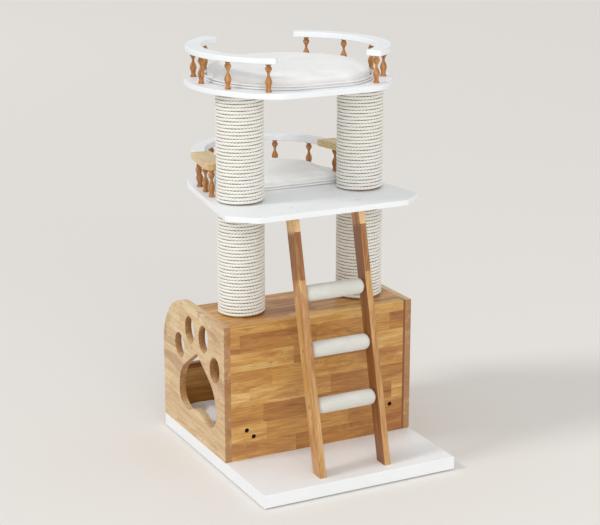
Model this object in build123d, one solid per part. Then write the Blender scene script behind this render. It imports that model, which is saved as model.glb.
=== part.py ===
from build123d import *
import math
import os

# A wooden cat tree. Right is +X, the ladder is at the front (-Y), and the floor is z = 0.
# The origin is on the floor, under the middle of the whole object. All sizes are in millimetres.

# Base board and its non-slip pads
base_width = 450.0
base_depth = 520.0
base_thickness = 28.0
pad_radius = 20.0
pad_thickness = 2.0
pad_inset = 40.0

# House: two end panels, a front panel, a low back panel and a top board
house_depth = 331.0
house_height = 300.0
panel_thickness = 15.0
rear_corner_radius = 128.0
back_panel_height = 114.0
top_board_depth = 155.0
panel_edge_radius = 1.5

# Paw-shaped doorway in the left end panel, measured from the panel's front edge and lower edge
paw_from_front = 143.0
paw_side_height = 93.0
paw_half_width = 100.0
paw_lobe_radius = 40.0
paw_shoulder_radius = 80.0
paw_shoulder_angle = 57.0
paw_dip_height = 69.0
paw_tip_radius = 12.0
inner_toe_offset = 36.5
inner_toe_height = 243.5
inner_toe_radii = (24.5, 31.0)
inner_toe_tilt = 8.0
outer_toe_offset = 94.0
outer_toe_height = 192.5
outer_toe_radii = (25.0, 28.5)
outer_toe_tilt = 18.0

# Rope-wrapped posts
post_height = 230.0
post_spacing = 284.0
post_from_house_front = 89.5
tube_radius = 43.5
tube_wall = 5.0
rope_diameter = 7.0
plug_thickness = 18.0
nut_radius = 6.0
nut_length = 15.0
bolt_radius = 4.0
bolt_head_radius = 8.0
bolt_head_height = 3.0
bolt_clearance = 0.5

# Platforms
platform_thickness = 12.0
platform_edge_radius = 1.5
middle_front_from_posts = 155.0
middle_front_half_width = 173.0
shoulder_half_width = 226.0
shoulder_depth = 47.0
bed_overhang = 95.0
middle_back_radius = 181.0
platform_corner_radius = 10.0
top_radius = 222.0
top_centre_from_posts = 58.5
top_front_from_posts = 134.0
top_corner_radius = 60.0

# Railings
rail_thickness = 12.0
rail_edge_radius = 2.0
rail_corner_radius = 4.0
top_rail_width = 34.0
top_rail_inset = 4.0
front_gap_angle = 33.0
back_gap_angle = 30.0
middle_rail_width = 30.0
middle_rail_inset = 11.0
arm_width = 44.0
arm_thickness = 15.0
arm_edge_gap = 3.0
arm_post_gap = 2.0
arm_joint_from_bed_centre = 22.0

# Turned balusters
baluster_height = 58.0
foot_radius = 6.4
waist_radius = 4.9
belly_radius = 7.3
neck_radius = 2.9
bead_radius = 6.7
groove_radius = 4.6
tenon_radius = 3.0
tenon_length = 7.0
tenon_clearance = 0.1
baluster_step_angle = 26.0
back_baluster_step_angle = 31.0
arm_baluster_step = 50.0
arm_baluster_outward = 8.0
arm_baluster_forward = 12.0
balusters_per_rail = 5
balusters_per_arm = 3

# Ladder
ladder_width = 168.0
stringer_thickness = 15.0
stringer_depth = 35.0
ladder_foot_from_base_front = 43.0
ladder_head_from_platform_front = 46.0
rung_heights = (140.0, 254.0, 368.0)
rung_core_radius = 10.0
rung_cover_radius = 16.0
rung_cover_gap = 1.0
stringer_edge_radius = 2.0

# Cushions
cushion_thickness = 36.0
cushion_lift = 0.3
top_cushion_gap = 4.0
top_cushion_front_inset = 25.0
middle_cushion_gap = 1.5
cushion_edge_radius = 9.0
mat_thickness = 30.0
mat_gap = 4.0

# Fasteners
screw_radius = 2.0
screw_head_radius = 4.0
screw_head_height = 2.5
screw_bite = 18.0
base_screw_bite = 22.0
dowel_radius = 4.0
dowel_length = 30.0
dowel_in_panel = 10.0
block_width = 64.0
block_height = 80.0
block_thickness = 18.0
block_bolt_radius = 3.0
block_bolt_head_radius = 5.0
block_bolt_head_height = 3.0
block_bolt_offsets = ((36.0, 65.0), (52.0, 49.0))

# Places that follow from the sizes above
total_depth = base_depth + bed_overhang
base_front = -total_depth / 2
base_back = base_front + base_depth
base_bottom = pad_thickness
base_top = base_bottom + base_thickness
house_front = base_back - house_depth
house_top = base_top + house_height
end_inner_x = base_width / 2 - panel_thickness
front_inner_y = house_front + panel_thickness
back_inner_y = base_back - panel_thickness
top_board_bottom = house_top - panel_thickness
top_board_back = front_inner_y + top_board_depth
post_x = post_spacing / 2
post_y = house_front + post_from_house_front
post_radius = tube_radius + rope_diameter
middle_bottom = house_top + post_height
middle_top = middle_bottom + platform_thickness
top_bottom = middle_top + post_height
top_top = top_bottom + platform_thickness
middle_front = post_y - middle_front_from_posts
bed_centre_y = base_back + bed_overhang - middle_back_radius
top_centre_y = post_y + top_centre_from_posts
top_front = post_y - top_front_from_posts
top_rail_outer = top_radius - top_rail_inset
top_rail_middle = top_rail_outer - top_rail_width / 2
middle_rail_outer = middle_back_radius - middle_rail_inset
middle_rail_middle = middle_rail_outer - middle_rail_width / 2
arm_rear_y = bed_centre_y + arm_joint_from_bed_centre
top_cushion_radius = top_rail_outer - top_rail_width - top_cushion_gap
middle_cushion_radius = middle_back_radius - arm_edge_gap - arm_width - middle_cushion_gap
ladder_foot_y = base_front + ladder_foot_from_base_front
ladder_head_y = middle_front + ladder_head_from_platform_front
stringer_x = (ladder_width - stringer_thickness) / 2
UPWARD = (Align.CENTER, Align.CENTER, Align.MIN)
SIDES = {"left": -1, "right": 1}
TURN_TO_X = {-1: Rot(0, -90, 0), 1: Rot(0, 90, 0)}


# ---- Small building blocks ----

def upright(x, y, z, radius, height):
    """A cylinder standing at x, y with its lower end at z."""
    return Pos(x, y, z) * Cylinder(radius, height, align=UPWARD)


def block(x_range, y_range, z_range):
    """A box between the given limits."""
    size = [high - low for low, high in (x_range, y_range, z_range)]
    middle = [(high + low) / 2 for low, high in (x_range, y_range, z_range)]
    return Pos(*middle) * Box(*size)


def slab(face, z, thickness):
    """A flat board: an outline drawn on the floor, raised to z and given a thickness."""
    return extrude(Pos(0, 0, z) * face, thickness)


def rounded_rims(board, radius):
    """Rounds the edges that run round a board's upper and lower faces."""
    rims = board.faces().sort_by(Axis.Z)[-1].edges() + board.faces().sort_by(Axis.Z)[0].edges()
    return fillet(rims, radius)


def group(solids):
    """Separate solids that share one node."""
    return Compound(children=[solid.solid() for solid in solids])


def screw(length):
    """A countersunk wood screw with its head at the origin, pointing up."""
    head = Cone(screw_head_radius, screw_radius, screw_head_height, align=UPWARD)
    return head + Cylinder(screw_radius, length, align=UPWARD)


def bolt(length, head_radius, head_height, shank_radius):
    """A bolt with a flat round head below the origin and its shank pointing up."""
    head = Pos(0, 0, -head_height) * Cylinder(head_radius, head_height, align=UPWARD)
    return head + Cylinder(shank_radius, length, align=UPWARD)


# ---- Base ----

def pads():
    """Round pads under the corners and the middles of the long sides."""
    x = base_width / 2 - pad_inset
    rows = (base_front + pad_inset, (base_front + base_back) / 2, base_back - pad_inset)
    return group([upright(sx * x, y, 0, pad_radius, pad_thickness) for sx in (-1, 1) for y in rows])


def base_screws():
    """Screws up through the base into the end, front and back panels and the ladder's feet."""
    panel_x = base_width / 2 - panel_thickness / 2
    places = [(sx * panel_x, y) for sx in (-1, 1) for y in (house_front + 60, base_back - 60)]
    places += [(sx * post_x / 2, house_front + panel_thickness / 2) for sx in (-1, 1)]
    places += [(sx * post_x / 2, base_back - panel_thickness / 2) for sx in (-1, 1)]
    places += [(sx * stringer_x, ladder_foot_y) for sx in (-1, 1)]
    length = base_thickness + base_screw_bite
    return [Pos(x, y, base_bottom) * screw(length) for x, y in places]


def base_board(screws):
    """The heavy white board that everything stands on."""
    board = block((-base_width / 2, base_width / 2), (base_front, base_back), (base_bottom, base_top))
    return rounded_rims(board, platform_edge_radius) - screws


# ---- House ----

def paw_pad():
    """The doorway's outline: two lobes, a dip between them, round shoulders and a blunt tip."""
    lobe_x = paw_half_width - paw_lobe_radius
    shoulder_x = paw_half_width - paw_shoulder_radius
    turn = math.radians(paw_shoulder_angle)
    shoulder_end = (shoulder_x + paw_shoulder_radius * math.cos(turn),
                    paw_side_height + paw_shoulder_radius * math.sin(turn))
    tip = (0, shoulder_end[1] + shoulder_end[0] / math.tan(turn))
    drop = paw_side_height - paw_dip_height
    dip_radius = (lobe_x**2 + drop**2 - paw_lobe_radius**2) / (2 * (paw_lobe_radius - drop))
    dip_centre_y = paw_dip_height - dip_radius
    lean = math.degrees(math.atan2(paw_side_height - dip_centre_y, lobe_x))
    half = Curve() + [
        CenterArc((0, dip_centre_y), dip_radius, lean, 90 - lean),
        CenterArc((lobe_x, paw_side_height), paw_lobe_radius, lean - 180, 180 - lean),
        CenterArc((shoulder_x, paw_side_height), paw_shoulder_radius, 0, paw_shoulder_angle),
        Line(shoulder_end, tip),
    ]
    outline = make_face(half + mirror(half, about=Plane.YZ))
    return fillet(outline.vertices().sort_by(Axis.Y)[-1], paw_tip_radius)


def toe(offset, height, radii, tilt):
    """One oval toe, leaning outwards at the top."""
    return Pos(offset, height) * Rot(0, 0, -math.copysign(tilt, offset)) * Ellipse(*radii)


def paw():
    """The whole paw as one flat pattern."""
    pattern = paw_pad()
    for side in (-1, 1):
        pattern += toe(side * inner_toe_offset, inner_toe_height, inner_toe_radii, inner_toe_tilt)
        pattern += toe(side * outer_toe_offset, outer_toe_height, outer_toe_radii, outer_toe_tilt)
    return pattern


def end_panel(side, cutters):
    """An upright end of the house, with a large round upper rear corner."""
    outline = Pos(house_depth / 2, house_height / 2) * Rectangle(house_depth, house_height)
    corner = outline.vertices().sort_by(lambda v: v.X + v.Y)[-1]
    outline = fillet(corner, rear_corner_radius)
    inner = side * end_inner_x
    wall = Plane(origin=(inner, house_front, base_top), x_dir=(0, 1, 0), z_dir=(1, 0, 0))
    panel = extrude(wall * outline, side * panel_thickness)
    outer_rim = panel.faces().sort_by(Axis.X)[-1 if side > 0 else 0].edges()
    panel = fillet(outer_rim, panel_edge_radius)
    if side < 0:
        panel -= extrude(wall * Pos(paw_from_front, 0) * paw(), -panel_thickness)
    return panel - cutters


def front_panel(cutters):
    """The board across the front, between the end panels and as high as they are."""
    board = block((-end_inner_x, end_inner_x), (house_front, front_inner_y), (base_top, house_top))
    top_edge = board.edges().filter_by(Axis.X).sort_by(lambda e: e.center().Z - e.center().Y)[-1]
    return fillet(top_edge, panel_edge_radius) - cutters


def back_panel(cutters):
    """The low board across the back, which leaves the house open above it."""
    top = base_top + back_panel_height
    board = block((-end_inner_x, end_inner_x), (back_inner_y, base_back), (base_top, top))
    top_edges = board.edges().filter_by(Axis.X).sort_by(Axis.Z)[-2:]
    return fillet(top_edges, panel_edge_radius) - cutters


def top_board(cutters):
    """The roof of the front half of the house, which carries the lower posts."""
    return block((-end_inner_x, end_inner_x), (front_inner_y, top_board_back),
                 (top_board_bottom, house_top)) - cutters


def house_dowels():
    """Dowels from the end panels into the ends of the front, back and top boards."""
    front_y = house_front + panel_thickness / 2
    back_y = base_back - panel_thickness / 2
    top_z = house_top - panel_thickness / 2
    places = [(front_y, base_top + house_height * share) for share in (0.35, 0.6, 0.8)]
    places += [(back_y, base_top + back_panel_height * share) for share in (0.3, 0.7)]
    places += [(front_inner_y + top_board_depth * share, top_z) for share in (0.25, 0.75)]
    start = end_inner_x + dowel_in_panel - dowel_length
    peg = Cylinder(dowel_radius, dowel_length, align=UPWARD)
    return [Pos(side * start, y, z) * TURN_TO_X[side] * peg for side in (-1, 1) for y, z in places]


def corner_blocks(cutters):
    """Wooden blocks in the lower front corners, which the front panel is bolted to."""
    y_range = (front_inner_y, front_inner_y + block_thickness)
    z_range = (base_top, base_top + block_height)
    x_limits = (end_inner_x - block_width, end_inner_x)
    blocks = [block(x_limits, y_range, z_range), block((-x_limits[1], -x_limits[0]), y_range, z_range)]
    return [piece - cutters for piece in blocks]


def corner_block_bolts():
    """Two sunk bolts on the diagonal at each lower front corner."""
    length = panel_thickness + block_thickness - block_bolt_head_height - 2
    piece = bolt(length, block_bolt_head_radius, block_bolt_head_height, block_bolt_radius)
    face_y = house_front + block_bolt_head_height
    return [Pos(side * (end_inner_x - inset), face_y, base_top + height) * Rot(-90, 0, 0) * piece
            for side in (-1, 1) for inset, height in block_bolt_offsets]


def house_mat():
    """The soft floor of the house, as a plain solid."""
    y_range = (front_inner_y + block_thickness + mat_gap, back_inner_y - mat_gap)
    x_limit = end_inner_x - mat_gap
    z_range = (base_top + cushion_lift, base_top + cushion_lift + mat_thickness)
    mat = block((-x_limit, x_limit), y_range, z_range)
    return rounded_rims(fillet(mat.edges().filter_by(Axis.Z), 3 * cushion_edge_radius), cushion_edge_radius)


# ---- Posts ----

def post_levels():
    """The heights of the lower ends of the lower and the upper posts."""
    return {"lower": house_top, "upper": middle_top}


def post_places():
    """Name, x and lower end of each of the four posts."""
    return [(f"{level}_{side}", SIDES[side] * post_x, z)
            for level, z in post_levels().items() for side in SIDES]


def tube(x, z):
    """The paper tube at the heart of a post."""
    outer = upright(x, post_y, z, tube_radius, post_height)
    return outer - upright(x, post_y, z, tube_radius - tube_wall, post_height)


def rope_wrap(x, z):
    """The rope wound on a tube, as one sleeve."""
    outer = upright(x, post_y, z, post_radius, post_height)
    return outer - upright(x, post_y, z, tube_radius, post_height)


def plug_ends():
    """x and lower end of each plug: one at both ends of every post."""
    return [(x, end) for _, x, z in post_places() for end in (z, z + post_height - plug_thickness)]


def plug(x, z):
    """A wooden disc in a tube's end, bored for its insert nut."""
    disc = upright(x, post_y, z, tube_radius - tube_wall, plug_thickness)
    return disc - upright(x, post_y, z, nut_radius, plug_thickness)


def insert_nut(x, z):
    """A threaded insert that starts at the plug's outer end."""
    at_top = any(abs(z + plug_thickness - low - post_height) < 1 for low in post_levels().values())
    start = z + plug_thickness - nut_length if at_top else z
    sleeve = upright(x, post_y, start, nut_radius, nut_length)
    return sleeve - upright(x, post_y, start, bolt_radius, nut_length)


def post_bolts():
    """Bolts up through the top board, studs through the middle platform, bolts down from the top."""
    reach = nut_length - 1
    bolts = []
    for side in (-1, 1):
        x = side * post_x
        from_below = bolt(panel_thickness + reach, bolt_head_radius, bolt_head_height, bolt_radius)
        bolts.append(Pos(x, post_y, top_board_bottom) * from_below)
        bolts.append(upright(x, post_y, middle_bottom - reach, bolt_radius, platform_thickness + 2 * reach))
        depth = platform_thickness - bolt_head_height
        sunk = bolt(depth + reach, bolt_head_radius, bolt_head_height, bolt_radius)
        bolts.append(Pos(x, post_y, top_top - bolt_head_height) * Rot(180, 0, 0) * sunk)
    return bolts


def bolt_holes(z, thickness):
    """Clearance holes on the posts' axes through a board."""
    radius = bolt_radius + bolt_clearance
    return [upright(side * post_x, post_y, z, radius, thickness) for side in (-1, 1)]


# ---- Platforms ----

def side_line():
    """The right side of the middle platform: its front shoulder and where it meets the back arc."""
    shoulder = Vector(shoulder_half_width, middle_front + shoulder_depth)
    centre = Vector(0, bed_centre_y)
    reach = shoulder - centre
    angle = math.atan2(reach.Y, reach.X) + math.acos(middle_back_radius / reach.length)
    tangent = centre + Vector(math.cos(angle), math.sin(angle)) * middle_back_radius
    return shoulder, tangent


def middle_outline():
    """Straight front with cut corners, sides that taper and a round back."""
    shoulder, tangent = side_line()
    corner = Vector(middle_front_half_width, middle_front)
    back = (0, bed_centre_y + middle_back_radius)
    half = Curve() + [Line((0, middle_front), corner), Line(corner, shoulder), Line(shoulder, tangent)]
    arc = ThreePointArc(tangent, back, (-tangent.X, tangent.Y))
    face = make_face(half + arc + mirror(half, about=Plane.YZ))
    return fillet(face.vertices().sort_by(Axis.Y)[:4], platform_corner_radius)


def top_outline():
    """A disc with a straight front edge and soft corners."""
    disc = Pos(0, top_centre_y) * Circle(top_radius)
    front = Pos(0, top_front) * Rectangle(4 * top_radius, 4 * top_radius, align=(Align.CENTER, Align.MIN))
    face = disc & front
    return fillet(face.vertices().sort_by(Axis.Y)[:2], top_corner_radius)


def middle_platform(cutters):
    board = rounded_rims(slab(middle_outline(), middle_bottom, platform_thickness), platform_edge_radius)
    return board - bolt_holes(middle_bottom, platform_thickness) - cutters


def top_platform(cutters):
    board = rounded_rims(slab(top_outline(), top_bottom, platform_thickness), platform_edge_radius)
    heads = [upright(side * post_x, post_y, top_top - bolt_head_height, bolt_head_radius + bolt_clearance,
                     bolt_head_height) for side in (-1, 1)]
    return board - bolt_holes(top_bottom, platform_thickness) - heads - cutters


# ---- Railings ----

def ring_sector(centre_y, outer, width, start, end):
    """A flat piece of a ring between two angles, with rounded corners."""
    inner = outer - width
    size = end - start
    spot = Pos(0, centre_y)
    arcs = [spot * CenterArc((0, 0), radius, start, size) for radius in (outer, inner)]
    ends = [Line(arcs[0] @ share, arcs[1] @ share) for share in (0, 1)]
    face = make_face(Curve() + arcs + ends)
    return fillet(face.vertices(), rail_corner_radius)


def top_rail(side, sockets):
    """One of the two arcs round the top bed."""
    low, high = (front_gap_angle - 90, 90 - back_gap_angle)
    start, end = (low, high) if side > 0 else (180 - high, 180 - low)
    face = ring_sector(top_centre_y, top_rail_outer, top_rail_width, start, end)
    rail = rounded_rims(slab(face, top_top + baluster_height, rail_thickness), rail_edge_radius)
    return rail - sockets


def middle_back_rail(sockets):
    """The half ring behind the middle bed, cut square where the arm rests meet it."""
    middle = Pos(0, bed_centre_y)
    inner = middle_rail_outer - middle_rail_width
    keep = Pos(0, arm_rear_y) * Rectangle(4 * middle_rail_outer, 2 * middle_rail_outer,
                                          align=(Align.CENTER, Align.MIN))
    face = (middle * Circle(middle_rail_outer) - middle * Circle(inner)) & keep
    rail = slab(face, middle_top + baluster_height, rail_thickness)
    return rounded_rims(rail, rail_edge_radius) - sockets


def arm_line():
    """The right arm rest's centre line: a point, its direction and where its round end is centred."""
    shoulder, tangent = side_line()
    along = (tangent - shoulder).normalized()
    outward = Vector(along.Y, -along.X)
    start = shoulder - outward * (arm_edge_gap + arm_width / 2)
    reach = post_radius + arm_post_gap + arm_width / 2
    offset = start - Vector(post_x, post_y)
    half_b = offset.dot(along)
    travel = -half_b + math.sqrt(half_b**2 - offset.length**2 + reach**2)
    return start + along * travel, along


def arm_rest(side, sockets):
    """A wide bar with a round front end, cut square where it meets the back rail."""
    front, along = arm_line()
    length = (arm_rear_y - front.Y) / along.Y
    lean = math.degrees(math.atan2(along.Y, along.X))
    bar = Pos(length, 0) * Rectangle(2 * length, arm_width) + Circle(arm_width / 2)
    face = Pos(front.X, front.Y) * Rot(0, 0, lean) * bar
    keep = Pos(0, arm_rear_y) * Rectangle(4 * post_spacing, 4 * post_spacing, align=(Align.CENTER, Align.MAX))
    face = face & keep
    if side < 0:
        face = mirror(face, about=Plane.YZ)
    arm = slab(face, middle_top + baluster_height, arm_thickness)
    return rounded_rims(arm, rail_edge_radius) - sockets


def on_ring(centre_y, radius, angles):
    """Points on a circle at the given angles, in degrees from +X."""
    turns = [math.radians(angle) for angle in angles]
    return [(radius * math.cos(turn), centre_y + radius * math.sin(turn)) for turn in turns]


def baluster_rows():
    """Every row of balusters: its name, the points it stands on and the platform under it."""
    middle = (balusters_per_rail - 1) / 2
    steps = [index - middle for index in range(balusters_per_rail)]
    rows = {}
    for name, side in SIDES.items():
        heading = 0 if side > 0 else 180
        angles = [heading + side * step * baluster_step_angle for step in steps]
        rows[f"top_{name}"] = (on_ring(top_centre_y, top_rail_middle, angles), top_top)
    angles = [90 - step * back_baluster_step_angle for step in steps]
    rows["middle_back"] = (on_ring(bed_centre_y, middle_rail_middle, angles), middle_top)
    front, along = arm_line()
    first = front - along * arm_baluster_forward + Vector(along.Y, -along.X) * arm_baluster_outward
    for name, side in SIDES.items():
        points = [first + along * (arm_baluster_step * index) for index in range(balusters_per_arm)]
        rows[f"middle_{name}_arm"] = ([(side * point.X, point.Y) for point in points], middle_top)
    return rows


def turned_baluster():
    """A vase-shaped spindle standing at the origin, with a tenon on top."""
    top = baluster_height
    foot, collar = 0.05 * top, 0.95 * top
    curve = Spline(
        (foot_radius, foot),
        (waist_radius, 0.13 * top),
        (belly_radius, 0.35 * top),
        (neck_radius, 0.65 * top),
        (bead_radius, 0.84 * top),
        (groove_radius, 0.905 * top),
        (foot_radius, collar),
    )
    rest = Polyline(
        (foot_radius, collar),
        (foot_radius, top),
        (tenon_radius, top),
        (tenon_radius, top + tenon_length),
        (0, top + tenon_length),
        (0, 0),
        (foot_radius, 0),
        (foot_radius, foot),
    )
    profile = make_face(Plane.XZ * (Curve() + [curve, rest]))
    return revolve(profile, Axis.Z)


def socket():
    """The hole that a baluster's tenon fits, standing on the baluster's top."""
    hole = Cylinder(tenon_radius + tenon_clearance, tenon_length + 0.5, align=UPWARD)
    return Pos(0, 0, baluster_height) * hole


# ---- Ladder ----

def ladder_y(z):
    """The ladder's centre line at a height."""
    share = (z - base_top) / (middle_bottom - base_top)
    return ladder_foot_y + share * (ladder_head_y - ladder_foot_y)


def rung_places():
    """y and z of each rung's axis."""
    return [(ladder_y(base_top + height), base_top + height) for height in rung_heights]


def stringer(side, cutters):
    """A leaning side of the ladder, cut level at both ends."""
    half = stringer_depth / 2
    foot = [(ladder_foot_y - half, base_top), (ladder_foot_y + half, base_top)]
    head = [(ladder_head_y + half, middle_bottom), (ladder_head_y - half, middle_bottom)]
    face = make_face(Plane.YZ * Polyline(*foot, *head, close=True))
    rail = Pos(side * stringer_x - stringer_thickness / 2, 0, 0) * extrude(face, stringer_thickness)
    long_edges = rail.edges().filter_by(lambda e: e.length > middle_bottom - base_top)
    return fillet(long_edges, stringer_edge_radius) - cutters


def rung_core(y, z):
    """The wooden dowel inside a rung, between the stringers."""
    length = ladder_width - 2 * stringer_thickness
    return Pos(0, y, z) * Rot(0, 90, 0) * Cylinder(rung_core_radius, length)


def rung_cover(y, z):
    """The soft sleeve on a rung."""
    length = ladder_width - 2 * stringer_thickness - 2 * rung_cover_gap
    sleeve = Cylinder(rung_cover_radius, length)
    sleeve = fillet(sleeve.edges(), (rung_cover_radius - rung_core_radius) / 2)
    return Pos(0, y, z) * Rot(0, 90, 0) * (sleeve - Cylinder(rung_core_radius, length))


def rung_screws():
    """Screws through the stringers into the ends of the rungs."""
    outside = ladder_width / 2
    piece = screw(stringer_thickness + screw_bite)
    return [Pos(side * outside, y, z) * TURN_TO_X[-side] * piece
            for side in (-1, 1) for y, z in rung_places()]


# ---- Cushions ----

def top_cushion():
    """A round cushion with a straight front, as a plain solid."""
    front = top_front + top_cushion_front_inset
    disc = Pos(0, top_centre_y) * Circle(top_cushion_radius)
    keep = Pos(0, front) * Rectangle(4 * top_radius, 4 * top_radius, align=(Align.CENTER, Align.MIN))
    face = disc & keep
    face = fillet(face.vertices().sort_by(Axis.Y)[:2], top_corner_radius)
    return rounded_rims(slab(face, top_top + cushion_lift, cushion_thickness), cushion_edge_radius)


def middle_cushion():
    """A D-shaped cushion behind the posts, as a plain solid."""
    front = post_y + post_radius + middle_cushion_gap
    radius = middle_cushion_radius
    back = (0, bed_centre_y + radius)
    outline = [
        Polyline((-radius, bed_centre_y), (-radius, front), (radius, front), (radius, bed_centre_y)),
        ThreePointArc((radius, bed_centre_y), back, (-radius, bed_centre_y)),
    ]
    face = make_face(Curve() + outline)
    face = fillet(face.vertices().sort_by(Axis.Y)[:2], 2 * cushion_edge_radius)
    return rounded_rims(slab(face, middle_top + cushion_lift, cushion_thickness), cushion_edge_radius)


# ---- Assembly ----

def furniture():
    """Every node by name."""
    nodes = {}
    dowels, bolts, from_base = house_dowels(), corner_block_bolts(), base_screws()
    long_bolts, from_sides = post_bolts(), rung_screws()
    nodes["base_board"] = base_board(from_base)
    nodes["non_slip_pads"] = pads()
    nodes["left_end_panel"] = end_panel(-1, dowels + from_base)
    nodes["right_end_panel"] = end_panel(1, dowels + from_base)
    nodes["front_panel"] = front_panel(dowels + bolts + from_base)
    nodes["back_panel"] = back_panel(dowels + from_base)
    nodes["top_board"] = top_board(dowels + bolt_holes(top_board_bottom, panel_thickness))
    nodes["house_dowels"] = group(dowels)
    nodes["corner_blocks"] = group(corner_blocks(bolts))
    nodes["corner_block_bolts"] = group(bolts)
    nodes["base_screws"] = group(from_base)
    nodes["house_cushion"] = house_mat()

    nodes["post_tubes"] = group([tube(x, z) for _, x, z in post_places()])
    for name, x, z in post_places():
        nodes[f"{name}_rope_wrap"] = rope_wrap(x, z)
    nodes["post_end_plugs"] = group([plug(x, z) for x, z in plug_ends()])
    nodes["post_insert_nuts"] = group([insert_nut(x, z) for x, z in plug_ends()])
    nodes["post_bolts"] = group(long_bolts)

    spindle, hole = turned_baluster(), socket()
    rows = baluster_rows()
    length = platform_thickness + screw_bite
    from_above = [Pos(side * stringer_x, ladder_head_y, middle_top) * Rot(180, 0, 0) * screw(length)
                  for side in (-1, 1)]
    screws = {middle_top: list(from_above), top_top: []}
    sockets = {}
    for row, (points, floor) in rows.items():
        under = [Pos(x, y, floor - platform_thickness) * screw(length) for x, y in points]
        screws[floor] += under
        sockets[row] = [Pos(x, y, floor) * hole for x, y in points]
        for number, (x, y) in enumerate(points, 1):
            nodes[f"{row}_baluster_{number}"] = Pos(x, y, floor) * spindle - under[number - 1]
    nodes["platform_screws"] = group(screws[middle_top] + screws[top_top])
    nodes["middle_platform"] = middle_platform(screws[middle_top])
    nodes["top_platform"] = top_platform(screws[top_top])
    nodes["middle_back_rail"] = middle_back_rail(sockets["middle_back"])
    for name, side in SIDES.items():
        nodes[f"middle_{name}_arm_rest"] = arm_rest(side, sockets[f"middle_{name}_arm"])
        nodes[f"top_{name}_rail"] = top_rail(side, sockets[f"top_{name}"])
        nodes[f"ladder_{name}_stringer"] = stringer(side, from_base + from_sides + from_above)

    nodes["rung_dowels"] = group([rung_core(y, z) - from_sides for y, z in rung_places()])
    for number, (y, z) in enumerate(rung_places(), 1):
        nodes[f"rung_cover_{number}"] = rung_cover(y, z)
    nodes["rung_screws"] = group(from_sides)
    nodes["top_cushion"] = top_cushion()
    nodes["middle_cushion"] = middle_cushion()
    return nodes


os.makedirs("parts", exist_ok=True)
for node, shape in furniture().items():
    shape.label = node
    export_step(shape, os.path.join("parts", node + ".step"))
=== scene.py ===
# %% [markdown]
# # A wooden cat tree, dressed around its CAD frame
# The joinery comes from the frame: the boards, platforms, rails, balusters and ladder sides are already
# at their real size, so they only need finishes. What a lathe, a rope winder or an upholsterer would add
# is made here: the rope on the posts, the cushions, the soft rung covers and the heads of the screws and
# bolts.

# %% Load the frame
import math

import bpy
import numpy as np
from mathutils import Matrix, Vector


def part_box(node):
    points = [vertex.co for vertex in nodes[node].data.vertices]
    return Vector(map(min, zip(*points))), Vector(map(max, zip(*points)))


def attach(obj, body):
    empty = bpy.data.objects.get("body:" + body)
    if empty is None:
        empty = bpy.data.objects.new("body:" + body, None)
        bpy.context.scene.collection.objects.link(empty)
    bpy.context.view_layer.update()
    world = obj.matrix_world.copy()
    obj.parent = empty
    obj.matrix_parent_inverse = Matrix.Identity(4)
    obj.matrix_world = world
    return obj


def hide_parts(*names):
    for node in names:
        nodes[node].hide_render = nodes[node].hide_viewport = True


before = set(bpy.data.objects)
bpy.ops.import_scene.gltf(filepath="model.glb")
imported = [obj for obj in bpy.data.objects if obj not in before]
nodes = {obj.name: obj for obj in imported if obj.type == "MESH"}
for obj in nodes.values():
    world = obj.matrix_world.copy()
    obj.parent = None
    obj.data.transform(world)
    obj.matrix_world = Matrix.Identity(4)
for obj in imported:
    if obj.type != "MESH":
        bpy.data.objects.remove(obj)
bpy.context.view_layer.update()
MM = 0.001

# %% [markdown]
# ## Camera, floor and light
# The tree is seen from the left of its front and from a little above, with a long lens, so that upright
# edges stay nearly parallel. A long lens far away was chosen over a near wide one, which would spread the
# base board.

# %% Camera
camera = bpy.data.objects.new("camera", bpy.data.cameras.new("camera"))
bpy.context.scene.collection.objects.link(camera)
camera.location = (-1.49566, -2.95591, 1.3532)
camera.rotation_euler = (math.radians(74.136), 0, math.radians(-27.03))
camera.data.lens = 95.19
camera.data.sensor_width = 36
camera.data.clip_end = 200
bpy.context.scene.camera = camera
bpy.context.scene.view_settings.view_transform = "Standard"
print("camera", round(camera.location.length, 2), "m away, lens", round(camera.data.lens, 1), "mm")

# %% Small helpers for colours and shader nodes


def linear(hex_colour):
    """An sRGB hex colour as linear RGBA."""
    parts = [int(hex_colour[i:i + 2], 16) / 255 for i in (0, 2, 4)]
    return [c / 12.92 if c <= 0.04045 else ((c + 0.055) / 1.055) ** 2.4 for c in parts] + [1.0]


def add(tree, kind, inputs=None, stops=None, **settings):
    """Adds a shader node.

    inputs maps sockets to values or to another node's output; stops are a ramp's positions and colours.
    """
    made = tree.nodes.new("ShaderNode" + kind)
    for name, value in settings.items():
        setattr(made, name, value)
    for socket, value in (inputs or {}).items():
        if isinstance(value, bpy.types.NodeSocket):
            tree.links.new(value, made.inputs[socket])
        else:
            made.inputs[socket].default_value = value
    if stops:
        elements = made.color_ramp.elements
        while len(elements) < len(stops):
            elements.new(0.5)
        for element, (position, colour) in zip(elements, stops):
            element.position = position
            element.color = colour
    return made


def new_material(name, **sockets):
    """A material with its Principled shader, whose constant values are set on its own sockets."""
    material = bpy.data.materials.new(name)
    material.use_nodes = True
    shader = material.node_tree.nodes["Principled BSDF"]
    for socket, value in sockets.items():
        shader.inputs[socket.replace("_", " ")].default_value = value
    return material, material.node_tree, shader


def finish_with(piece, material):
    """Puts one material on the whole piece."""
    piece.data.materials.clear()
    piece.data.materials.append(material)


# %% [markdown]
# The floor is a matte warm off-white paper sweep. One large plane is enough, because the view looks down
# everywhere.

# %% Floor
bpy.ops.mesh.primitive_plane_add(size=80, location=(0, 20, 0))
floor = bpy.context.object
floor.name = "floor"
material, tree, shader = new_material("paper_backdrop", Roughness=0.9, Specular_IOR_Level=0.1)
shader.inputs["Base Color"].default_value = linear("e9e5e0")
finish_with(floor, material)
print("floor", round(floor.dimensions.x), "m wide")

# %% Lights


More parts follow.
